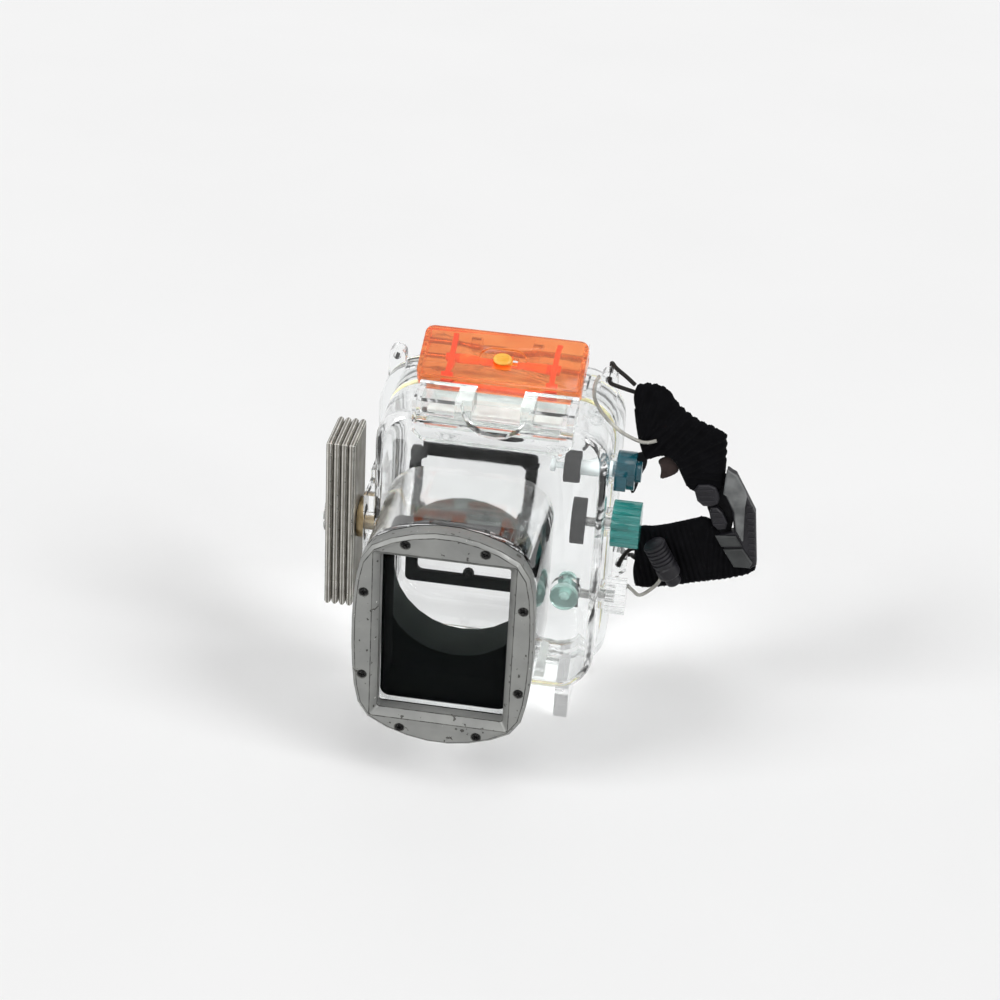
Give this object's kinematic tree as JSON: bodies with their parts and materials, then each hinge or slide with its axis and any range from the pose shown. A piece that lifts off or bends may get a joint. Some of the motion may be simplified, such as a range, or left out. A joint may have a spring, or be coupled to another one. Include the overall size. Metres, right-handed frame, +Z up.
{
  "type": "underwater camera housing",
  "caption": "Clear two-shell waterproof camera housing with framed rectangular lens port, over-centre latch, side ballast plates, through-wall controls and wrist strap.",
  "frame": {"origin": "on the supporting surface, under the lens axis and in the parting plane, on the flat heel of the middle hinge knuckle", "axes": "+Z up from the hinge side to the latch side, -Y out of the lens port, +X towards the knobs and the wrist strap"},
  "size_m": [0.1865, 0.1363, 0.1615],
  "materials": {
    "clear_plastic": "polished clear moulding",
    "window_glass": "polished",
    "frame_metal": "satin",
    "plate_metal": "satin plated",
    "steel": "ground",
    "dark_steel": "blackened",
    "brass": "turned",
    "black_plastic": "fine texture",
    "black_rubber": "moulded",
    "grey_rubber": "moulded",
    "seal_silicone": "greased",
    "orange_plastic": "translucent",
    "red_plastic": "moulded",
    "yellow_plastic": "moulded",
    "teal_plastic": "translucent",
    "green_plastic": "translucent",
    "strap_fabric": "woven",
    "buckle_plastic": "moulded",
    "tether_plastic": "smooth"
  },
  "bodies": {
    "housing": {"front_shell": "clear_plastic", "hinge_pin": "steel", "port_frame": "frame_metal", "port_gasket": "black_rubber", "port_window": "window_glass", "port_hood": "black_plastic", "port_screw_1": "dark_steel", "port_screw_2": "dark_steel", "port_screw_3": "dark_steel", "port_screw_4": "dark_steel", "port_screw_5": "dark_steel", "port_screw_6": "dark_steel", "port_screw_7": "dark_steel", "port_screw_8": "dark_steel", "tripod_bushing": "brass", "weight_plate_1": "plate_metal", "weight_plate_2": "plate_metal", "weight_plate_3": "plate_metal", "weight_plate_4": "plate_metal", "weight_screw": "steel", "lower_pad": "grey_rubber", "upper_pad": "grey_rubber", "strap_upper": "strap_fabric", "strap_lower": "strap_fabric", "strap_buckle": "buckle_plastic", "strap_keeper_upper": "buckle_plastic", "strap_keeper_lower": "buckle_plastic", "cord_lock": "buckle_plastic", "upper_cord": "strap_fabric", "lower_cord": "strap_fabric", "upper_tether": "tether_plastic", "lower_tether": "tether_plastic"},
    "door": {"rear_shell": "clear_plastic", "main_o_ring": "seal_silicone", "latch_pin": "steel", "lcd_mask": "black_plastic"},
    "latch": {"latch_cover": "orange_plastic", "claw_pin": "steel"},
    "claw": {"latch_claw": "red_plastic"},
    "lock": {"latch_lock": "yellow_plastic"},
    "zoom": {"zoom_lever": "teal_plastic", "zoom_wheel": "black_rubber"},
    "shutter": {"shutter_button": "teal_plastic"},
    "mode_dial": {"mode_knob": "green_plastic", "mode_shaft": "steel", "mode_wheel": "black_rubber"},
    "exposure_dial": {"exposure_knob": "clear_plastic", "exposure_shaft": "steel", "exposure_wheel": "grey_rubber"},
    "front_key": {"front_button": "teal_plastic"},
    "rear_dial": {"control_dial": "clear_plastic", "control_wheel": "black_rubber"},
    "rear_key_1": {"rear_button_1": "clear_plastic"},
    "rear_key_2": {"rear_button_2": "clear_plastic"},
    "rear_key_3": {"rear_button_3": "clear_plastic"},
    "rear_key_4": {"rear_button_4": "clear_plastic"},
    "rear_key_5": {"rear_button_5": "clear_plastic"},
    "cord_lock_key": {"cord_lock_plunger": "buckle_plastic"}
  },
  "joints": [
    {"name": "door_hinge", "type": "hinge", "parent": "housing", "child": "door", "pos_m": [0.007, 0, 0.0042], "axis": [-1, 0, 0], "range_deg": [0, 110]},
    {"name": "latch_hinge", "type": "hinge", "parent": "door", "child": "latch", "pos_m": [0.0064, 0.007, 0.153], "axis": [-1, 0, 0], "range_deg": [0, 100]},
    {"name": "claw_hinge", "type": "hinge", "parent": "latch", "child": "claw", "pos_m": [0.0064, -0.00129, 0.15078], "axis": [-1, 0, 0], "range_deg": [0, 4]},
    {"name": "lock_slide", "type": "slide", "parent": "latch", "child": "lock", "axis": [1, 0, 0], "range_m": [0, 0.0045]},
    {"name": "zoom_turn", "type": "hinge", "parent": "housing", "child": "zoom", "pos_m": [0.0586, -0.017, 0.117], "axis": [1, 0, 0], "range_deg": [-22, 22], "stiffness_Nm_per_rad": 0.02},
    {"name": "shutter_push", "type": "slide", "parent": "zoom", "child": "shutter", "axis": [-1, 0, 0], "range_m": [0, 0.0025], "stiffness_N_per_m": 400},
    {"name": "mode_turn", "type": "hinge", "parent": "housing", "child": "mode_dial", "pos_m": [0.0586, -0.017, 0.091], "axis": [1, 0, 0], "continuous": true},
    {"name": "exposure_turn", "type": "hinge", "parent": "housing", "child": "exposure_dial", "pos_m": [0.0586, -0.017, 0.055], "axis": [1, 0, 0], "continuous": true},
    {"name": "front_push", "type": "slide", "parent": "housing", "child": "front_key", "axis": [0, 1, 0], "range_m": [0, 0.002], "stiffness_N_per_m": 400},
    {"name": "rear_dial_turn", "type": "hinge", "parent": "door", "child": "rear_dial", "pos_m": [0.006, 0.0338, 0.114], "axis": [0, 1, 0], "continuous": true},
    {"name": "rear_push_1", "type": "slide", "parent": "door", "child": "rear_key_1", "axis": [0, -1, 0], "range_m": [0, 0.0015], "stiffness_N_per_m": 300},
    {"name": "rear_push_2", "type": "slide", "parent": "door", "child": "rear_key_2", "axis": [0, -1, 0], "range_m": [0, 0.0015], "stiffness_N_per_m": 300},
    {"name": "rear_push_3", "type": "slide", "parent": "door", "child": "rear_key_3", "axis": [0, -1, 0], "range_m": [0, 0.0015], "stiffness_N_per_m": 300},
    {"name": "rear_push_4", "type": "slide", "parent": "door", "child": "rear_key_4", "axis": [0, -1, 0], "range_m": [0, 0.0015], "stiffness_N_per_m": 300},
    {"name": "rear_push_5", "type": "slide", "parent": "door", "child": "rear_key_5", "axis": [0, -1, 0], "range_m": [0, 0.0015], "stiffness_N_per_m": 300},
    {"name": "cord_lock_push", "type": "slide", "parent": "housing", "child": "cord_lock_key", "axis": [-0.5, 0, 0.866], "range_m": [0, 0.0025], "stiffness_N_per_m": 300}
  ]
}
